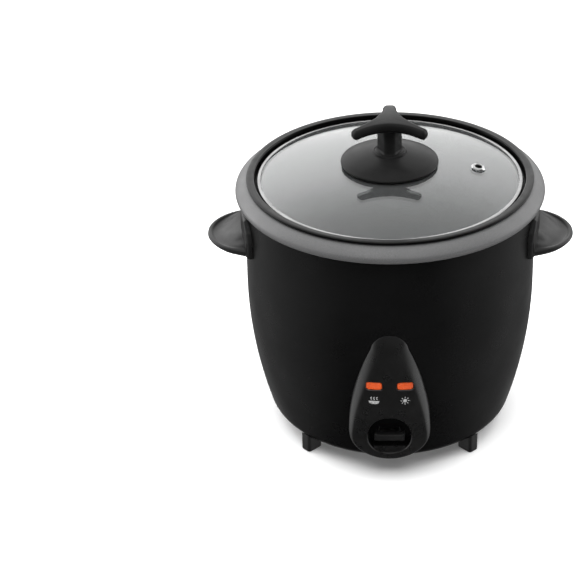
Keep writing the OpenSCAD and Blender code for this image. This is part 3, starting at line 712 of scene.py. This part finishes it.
def face_radius(z):
    """Smooth line through the radii of the panel's front face."""
    line = FACE_LINE
    z = min(max(z, line[0][0]), line[-1][0])
    i = max(k for k in range(len(line) - 1) if line[k][0] <= z)
    slope = lambda k: (line[min(k + 1, len(line) - 1)][1] - line[max(k - 1, 0)][1]) / (
        line[min(k + 1, len(line) - 1)][0] - line[max(k - 1, 0)][0])
    (z0, r0), (z1, r1) = line[i], line[i + 1]
    h = z1 - z0
    t = (z - z0) / h
    return ((2 * t ** 3 - 3 * t ** 2 + 1) * r0 + (t ** 3 - 2 * t ** 2 + t) * h * slope(i)
            + (3 * t ** 2 - 2 * t ** 3) * r1 + (t ** 3 - t ** 2) * h * slope(i + 1))


def front(x, z, out=0.0):
    """Y of the panel's face, moved out by a distance."""
    return -math.sqrt((face_radius(z) + out) ** 2 - x * x)


def casing_y(x, z, out=0.0):
    """Y of the casing behind the panel."""
    foot = shell_radius(max(z, CORNER_TOP)) - (0 if z > CORNER_TOP else 0.045 * (CORNER_TOP - z) ** 2)
    return -math.sqrt((foot + out) ** 2 - x * x)


def teardrop_outline():
    """Panel outline seen from the front: round foot, bowed sides, round top."""
    side_r = 146
    side_x = side_r - PANEL_R
    tip_z = PANEL_TOP - TIP_R
    points = arc(0, FOOT_Z, PANEL_R, -180, 0, 48)
    reach = math.degrees(math.asin((tip_z + 1.5 - FOOT_Z) / side_r))
    right = arc(-side_x, FOOT_Z, side_r, 0, reach, 30)[1:]
    top = arc(0, tip_z, TIP_R, 25, 155, 24)
    left = [(-x, z) for x, z in right[::-1]]
    return resample(points + right + top + left, 280)


def oval(half_w, half_h, x, z, count=96, squareness=2.0):
    """Superellipse in the XZ plane: 2 is an ellipse, more is squarer."""
    points = []
    for k in range(count):
        t = 2 * math.pi * k / count
        c, s = math.cos(t), math.sin(t)
        points.append((x + half_w * math.copysign(abs(c) ** (2 / squareness), c),
                       z + half_h * math.copysign(abs(s) ** (2 / squareness), s)))
    return points


def make_panel():
    outline = teardrop_outline()
    middle_z = 58
    shrunk = lambda line, part: [(x * part, middle_z + (z - middle_z) * part) for x, z in line]
    rings = []
    for part in (0.05, 0.4, 0.7, 0.9):
        rings.append([(x, casing_y(x, z, 0.2), z) for x, z in shrunk(outline, part)])
    rings.append([(x, casing_y(x, z, 0.2), z) for x, z in outline])
    edge = lambda z: 1.8 + 6.4 * min(max((z - 32) / 62, 0), 1)
    for step in range(0, 10):
        t = math.radians(10 * step)
        ring = []
        for (x, z), (nx, nz) in zip(outline, offset_outline(outline, 1)):
            inset = edge(z) * (1 - math.cos(t))
            px, pz = x + (nx - x) * inset, z + (nz - z) * inset
            face, casing = front(px, pz), casing_y(px, pz, 0.2)
            drop = min(casing - face, edge(z) * 0.9 + 0.3)
            ring.append((px, face + drop * (1 - math.sin(t) ** 1.25), pz))
        rings.append(ring)
    last = [(x, z) for x, _, z in rings[-1]]
    for k in range(1, 20):
        rings.append([(x, front(x, z), z) for x, z in shrunk(last, 1 - k / 20)])
    panel = loft("front_panel_pod", rings)

    recess = []
    for out, grow in ((3, 0.9), (0.5, 0.9), (0.0, 0.62), (-0.35, 0.3), (-0.8, 0.08), (-1.4, 0)):
        recess.append([(x, front(x, z, out), z) for x, z in
                       oval(RECESS_W + grow, RECESS_H + grow, 0, RECESS_Z, squareness=RECESS_SQUARENESS)])
    for y, floor in ((-92.0, 25.5), (-90.2, 28.0), (-86.0, 28.2), (-80, 28.2)):
        recess.append([(x, max(y, front(x, z, -1.5)) if y < -91 else y, max(z, floor))
                       for x, z in oval(RECESS_W, RECESS_H, 0, RECESS_Z, squareness=RECESS_SQUARENESS)])
    cut(panel, loft("recess_space", recess))
    for s in (-1, 1):
        window = []
        for out, grow in ((3, 0.45), (0.05, 0.45), (-0.35, 0.12), (-6, 0.12)):
            window.append([(x, front(x, z, out), z) for x, z in
                           oval(LENS_W + grow, LENS_H + grow, s * LENS_X, LENS_Z, squareness=5)])
        cut(panel, loft("window_space", window))
    smooth_by_angle(panel, 40)
    fit(panel, PANEL, "root", "panel_plastic", "front_panel")


def make_lens(s, name, node):
    rings = []
    for out, shrink in ((-4.5, 0.02), (-0.7, 0.02), (-0.3, 0.1), (-0.08, 0.4), (0.0, 0.9), (0.06, 2.4)):
        rings.append([(x, front(x, z, out - 0.25), z) for x, z in
                      oval(LENS_W - shrink, max(LENS_H - shrink, 0.2), s * LENS_X, LENS_Z, squareness=5)])
    lens = loft(name, rings)
    smooth_by_angle(lens, 50)
    fit(lens, AMBER, "root", "lens_amber", node)


def printed(name, outline):
    """Thin raised print whose outline lies on the panel's face."""
    low = [(x, front(x, z, 0.01), z) for x, z in outline]
    high = [(x, front(x, z, 0.07), z) for x, z in outline]
    return loft(name, [low, high])


def make_marks():
    """A steaming bowl under the left lamp and a small sun under the right one."""
    z = LENS_Z - 10.6
    parts = []
    bowl = [(-3.4, -0.2)] + arc(0, -0.2, 3.4, 180, 360, 24)
    bowl = [(x, y if y > -1.2 else -1.2 + (y + 1.2) * 0.6) for x, y in bowl]
    parts.append(printed("bowl", resample([(x - LENS_X, y + z) for x, y in bowl], 60)))
    for x in (-1.8, 0, 1.8):
        wave = [(x + 0.28 * math.sin(t * 1.1) - 0.28, 0.6 + t * 0.32) for t in range(8)]
        wave += [(px + 0.56, py) for px, py in wave[::-1]]
        parts.append(printed("steam", resample([(px - LENS_X, py + z) for px, py in wave], 40)))
    parts.append(printed("sun", oval(1.25, 1.25, LENS_X, z, 48)))
    for k in range(8):
        a = k * math.pi / 4
        ray = [(1.8, -0.26), (3.0, -0.2), (3.0, 0.2), (1.8, 0.26)]
        turned = [(LENS_X + x * math.cos(a) - y * math.sin(a), z + x * math.sin(a) + y * math.cos(a))
                  for x, y in ray]
        parts.append(printed("ray", resample(turned, 24)))
    marks = join("panel_symbols", parts)
    fit(marks, INK, "root", "print_white", "panel_marks")


def make_tab():
    """Finger tab: a bar whose two ends turn up."""
    low, high = span("lever_tab")
    half, base = high[0], low[2] + 0.4
    y_front, y_back = low[1], high[1]
    rings = []
    for k in range(41):
        x = -half + 2 * half * k / 40
        lift = 1.5 * max(0.0, (abs(x) - 5.5) / (half - 5.5)) ** 2
        end = min(1.0, math.sqrt(max(0.0, 1 - (max(0.0, abs(x) - half + 0.9) / 0.9) ** 2)) + 0.25)
        top, bottom = base + 5.1 + lift, base + 0.6
        points = []
        corners = ((y_front, bottom, 0.9), (y_back, bottom, 0.5), (y_back, top, 0.6), (y_front, top, 1.1))
        for y, z, r in corners:
            sy = 1 if y == y_front else -1
            sz = 1 if z == bottom else -1
            start = {(1, 1): 180, (-1, 1): 270, (-1, -1): 0, (1, -1): 90}[(sy, sz)]
            points += arc(y + sy * r, z + sz * r, r, start, start + 90, 6)
        cy, cz = (y_front + y_back) / 2, (top + bottom) / 2
        rings.append([(x, cy + (y - cy) * end, cz + (z - cz) * end) for y, z in points])
    tab = loft("lever_tab_bar", rings)
    smooth_by_angle(tab, 60)
    fit(tab, BLACK, "lever", "black_plastic", "lever_tab")


# ---- Feet and inlet ----


def make_feet():
    """Four rubber feet whose tops follow the rounded foot of the casing."""
    middle_r = 73.5
    corner_x = shell_radius(CORNER_TOP) - CORNER_R * math.cos(CORNER_TILT)
    corner_z = CORNER_TOP + CORNER_R * math.sin(CORNER_TILT)
    feet = []
    for quarter in range(4):
        a = math.radians(45 + 90 * quarter)
        plan = []
        for cx, cy, start in ((4, -2, -90), (4, 2, 0), (-4, 2, 90), (-4, -2, 180)):
            plan += arc(cx, cy, 2, start, start + 90, 8)
        plan = resample(plan, 96)

        def ring(inset, z, follow):
            points = []
            for x, y in offset_outline(plan, inset):
                r = middle_r + x
                roof = corner_z - math.sqrt(max(CORNER_R ** 2 - max(r - corner_x, 0) ** 2, 1)) - 0.5
                height = roof if follow else z
                points.append((r * math.cos(a) - y * math.sin(a),
                               r * math.sin(a) + y * math.cos(a), height))
            return points

        rings = [ring(inset, z, False) for inset, z in
                 ((1.9, 0), (1.3, 0), (0.9, 0), (0.5, 0.15), (0.2, 0.45), (0, 1.0), (0, 4.5))]
        rings += [ring(0, 0, True), ring(1.2, 0, True), ring(1.9, 0, True)]
        foot = loft("foot", rings)
        feet.append(foot)
    feet = join("rubber_feet", feet)
    smooth_by_angle(feet, 50)
    fit(feet, RUBBER, "root", "rubber_black", "feet")


def make_inlet():
    """Mains inlet: a flange that follows the casing, with a shrouded well for the plug."""
    low, high = span("inlet_socket")
    middle_z = INLET_Z
    half_w, half_h = high[0], (high[2] - low[2]) / 2
    outline = oval(half_w, half_h, 0, middle_z, count=160, squareness=9)
    rings = []
    for out, inset in ((0.25, 6), (0.25, 0), (2.2, 0), (2.9, 0.3), (3.3, 0.8), (3.5, 1.6), (3.5, 6)):
        scale_x, scale_z = (half_w - inset) / half_w, (half_h - inset) / half_h
        rings.append([(x * scale_x, math.sqrt((shell_radius(z) + out) ** 2 - (x * scale_x) ** 2),
                       middle_z + (z - middle_z) * scale_z) for x, z in outline])
    rings = [[(x, min(y, high[1]), z) for x, y, z in ring] for ring in rings]
    flange = loft("inlet_flange", rings)
    body = block("inlet_body", (-14, low[1], middle_z - 10.5), (14, high[1] - 2, middle_z + 10.5))
    bevel(body, 0.6)
    for part in (flange, body):
        well = oval(12, 7.5, 0, middle_z, count=120, squareness=8)
        mouth = oval(12.8, 8.3, 0, middle_z, count=120, squareness=8)
        levels = ((well, 70), (well, high[1] - 0.9), (mouth, high[1] + 0.1), (mouth, high[1] + 4))
        cut(part, loft("well_space", [[(x, y, z) for x, z in edge] for edge, y in levels]))
    for s in (-1, 1):
        cut(flange, bar("screw_bore", (s * 17.5, 60, middle_z), (s * 17.5, 110, middle_z), 1.75))
    socket = join("inlet_socket_shell", [flange, body])
    smooth_by_angle(socket, 40)
    fit(socket, BLACK, "root", "black_plastic", "inlet_socket")


dress_cad_nodes()
make_shell()
make_ring()
make_pot()
make_lid()
make_knob_base()
make_knob_grip()
make_handle(1, "handle_right_plate", "handle_right")
make_handle(-1, "handle_left_plate", "handle_left")
make_panel()
make_lens(-1, "lens_cook_cap", "lens_cook")
make_lens(1, "lens_warm_cap", "lens_warm")
make_marks()
make_tab()
make_feet()
make_inlet()

# ---- Floor, light and camera ----


def stage_material(name, value, rough):
    made = Nodes(name).set(Specular_IOR_Level=0.1, Emission_Strength=0.06)
    made.shader.inputs["Emission Color"].default_value = (1, 1, 1, 1)
    made.colours(made.noise(3), grey(value), grey(value + 0.02))
    made.roughness(made.noise(20), rough, rough + 0.1)
    return made.material


floor = block("studio_floor", (-6000, -6000, -20), (6000, 6000, 0))
floor.data.materials.append(stage_material("studio_floor", 0.90, 0.8))
floor.visible_glossy = False


def panel_light(name, place, aim, width, height, power):
    light = bpy.data.lights.new(name, "AREA")
    light.shape = "RECTANGLE"
    light.size, light.size_y, light.energy = width, height, power
    lamp = bpy.data.objects.new(name, light)
    lamp.location = place
    lamp.rotation_euler = (Vector(aim) - Vector(place)).to_track_quat("-Z", "Y").to_euler()
    bpy.context.scene.collection.objects.link(lamp)
    return lamp


def studio_light():
    """White room, bright behind and above, with white walls at the sides and a dark front."""
    world = bpy.data.worlds.new("studio")
    bpy.context.scene.world = world
    world.use_nodes = True
    tree = world.node_tree
    split = tree.nodes.new("ShaderNodeSeparateXYZ")
    tree.links.new(tree.nodes.new("ShaderNodeTexCoord").outputs["Generated"], split.inputs["Vector"])

    def ramp(source, start, end, low, high):
        node = tree.nodes.new("ShaderNodeMapRange")
        node.interpolation_type = "SMOOTHSTEP"
        for key, value in (("From Min", start), ("From Max", end), ("To Min", low), ("To Max", high)):
            node.inputs[key].default_value = value
        tree.links.new(source, node.inputs["Value"])
        return node.outputs["Result"]

    def both(operation, first, second=0.0):
        node = tree.nodes.new("ShaderNodeMath")
        node.operation = operation
        for index, value in enumerate((first, second)):
            if isinstance(value, float):
                node.inputs[index].default_value = value
            else:
                tree.links.new(value, node.inputs[index])
        return node.outputs["Value"]

    x, y, z = (split.outputs[axis] for axis in "XYZ")
    behind = both("MULTIPLY", ramp(y, -0.4, 0.6, 0.2, 2.35), ramp(z, 0.5, 0.9, 1.0, 0.45))
    above = both("MULTIPLY", behind, ramp(z, 0.1, 0.5, 0.8, 1.0))
    above = both("MAXIMUM", above, ramp(z, 0.55, 0.95, 0.2, 1.3))
    above = both("MULTIPLY", above, ramp(x, -0.7, 0.7, 1.27, 0.80))
    below = both("MAXIMUM", ramp(both("ABSOLUTE", x), 0.42, 0.92, 0.04, 0.8), ramp(y, 0.1, 0.7, 0.0, 0.3))
    level = both("ADD", both("MULTIPLY", above, ramp(z, -0.08, 0.06, 0.0, 1.0)),
                 both("MULTIPLY", below, ramp(z, -0.08, 0.06, 1.0, 0.0)))
    tree.links.new(level, tree.nodes["Background"].inputs["Strength"])
    tree.nodes["Background"].inputs["Color"].default_value = (1, 1, 1, 1)


studio_light()
panel_light("left_box", (-0.95, 0.35, 0.45), (0, 0, 0.1), 0.5, 0.9, 3)
panel_light("right_box", (0.95, 0.35, 0.45), (0, 0, 0.1), 0.5, 0.9, 3)
top_box = panel_light("top_box", (0, -0.35, 1.45), (0, 0, 0.1), 1.6, 1.6, 30)
top_box.visible_glossy = False


def aim_camera():
    data = bpy.data.cameras.new("product_camera")
    data.lens, data.sensor_width = 122.3, 36
    camera = bpy.data.objects.new("product_camera", data)
    bpy.context.scene.collection.objects.link(camera)
    target = Vector((0, 0, 0.094))
    height = math.radians(30.45)
    back = Vector((0, -math.cos(height), math.sin(height)))
    camera.location = target + back * 1.3
    turn = (-back).to_track_quat("-Z", "Y").to_matrix().to_4x4()
    turn = turn @ Matrix.Rotation(math.radians(3.03), 4, "Y")
    camera.rotation_euler = turn.to_euler()
    bpy.context.scene.camera = camera


aim_camera()
bpy.context.scene.view_settings.view_transform = "Standard"
bpy.context.scene.view_settings.look = "None"
